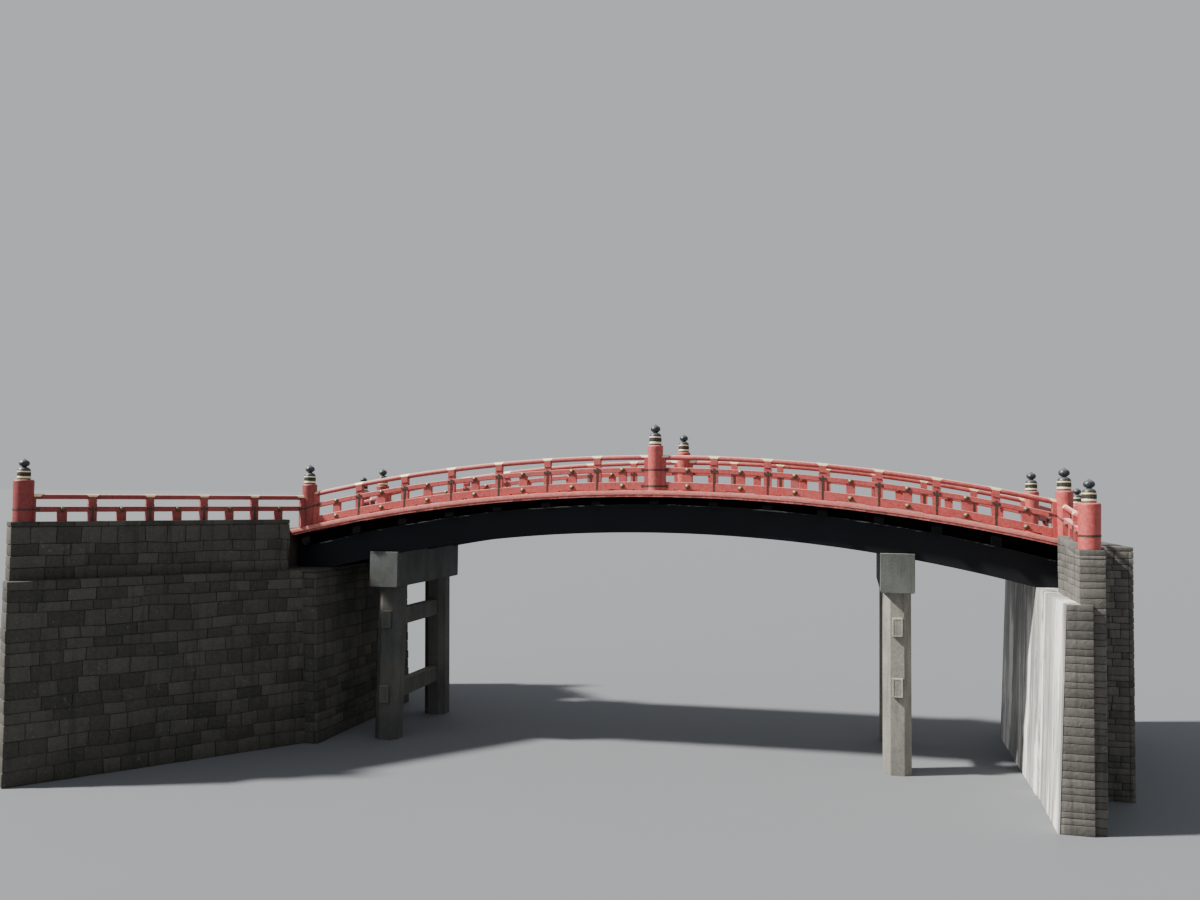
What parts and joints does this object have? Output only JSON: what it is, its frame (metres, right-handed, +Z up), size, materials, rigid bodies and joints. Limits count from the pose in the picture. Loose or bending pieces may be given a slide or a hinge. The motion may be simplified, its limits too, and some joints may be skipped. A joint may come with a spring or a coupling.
{
  "type": "moon bridge",
  "caption": "Arched vermilion timber footbridge on stone trestles, with capped railing posts and flared approach railings on stone walls.",
  "frame": {"origin": "middle of the outline box at the lowest foot, which is the level of the water or ground under the trestles", "axes": "+X along the bridge to the right end as seen from downstream, +Y across it to the upstream side, +Z up"},
  "size_m": [37.6088, 20.6352, 12.3143],
  "materials": {
    "vermilion_timber": "satin",
    "tarred_timber": "satin",
    "bronze": "satin",
    "grey_stone": "matte",
    "wall_stone": "matte"
  },
  "bodies": {
    "root": {"girder_downstream": "tarred_timber", "girder_middle": "tarred_timber", "girder_upstream": "tarred_timber", "cross_beams": "tarred_timber", "deck": "vermilion_timber", "bottom_rail_downstream": "vermilion_timber", "bottom_rail_upstream": "vermilion_timber", "mid_rail_downstream": "vermilion_timber", "mid_rail_upstream": "vermilion_timber", "top_rail_downstream": "vermilion_timber", "top_rail_upstream": "vermilion_timber", "main_struts_downstream": "vermilion_timber", "main_struts_upstream": "vermilion_timber", "short_struts_downstream": "vermilion_timber", "short_struts_upstream": "vermilion_timber", "post_left_downstream": "vermilion_timber", "post_centre_downstream": "vermilion_timber", "post_right_downstream": "vermilion_timber", "post_left_upstream": "vermilion_timber", "post_centre_upstream": "vermilion_timber", "post_right_upstream": "vermilion_timber", "wing_post_left_downstream": "vermilion_timber", "wing_post_left_upstream": "vermilion_timber", "wing_post_right_downstream": "vermilion_timber", "wing_post_right_upstream": "vermilion_timber", "caps_downstream": "bronze", "caps_upstream": "bronze", "wing_railing_left_downstream": "vermilion_timber", "wing_railing_left_upstream": "vermilion_timber", "wing_railing_right_downstream": "vermilion_timber", "wing_railing_right_upstream": "vermilion_timber", "left_pier_cap_beam": "grey_stone", "left_pier_tie_beams": "grey_stone", "left_pier_column_downstream": "grey_stone", "left_pier_column_upstream": "grey_stone", "right_pier_cap_beam": "grey_stone", "right_pier_tie_beams": "grey_stone", "right_pier_column_downstream": "grey_stone", "right_pier_column_upstream": "grey_stone", "abutment_left": "wall_stone", "abutment_right": "wall_stone", "wing_wall_left_downstream": "wall_stone", "wing_wall_left_upstream": "wall_stone", "wing_wall_right_downstream": "wall_stone", "wing_wall_right_upstream": "wall_stone"}
  },
  "joints": []
}
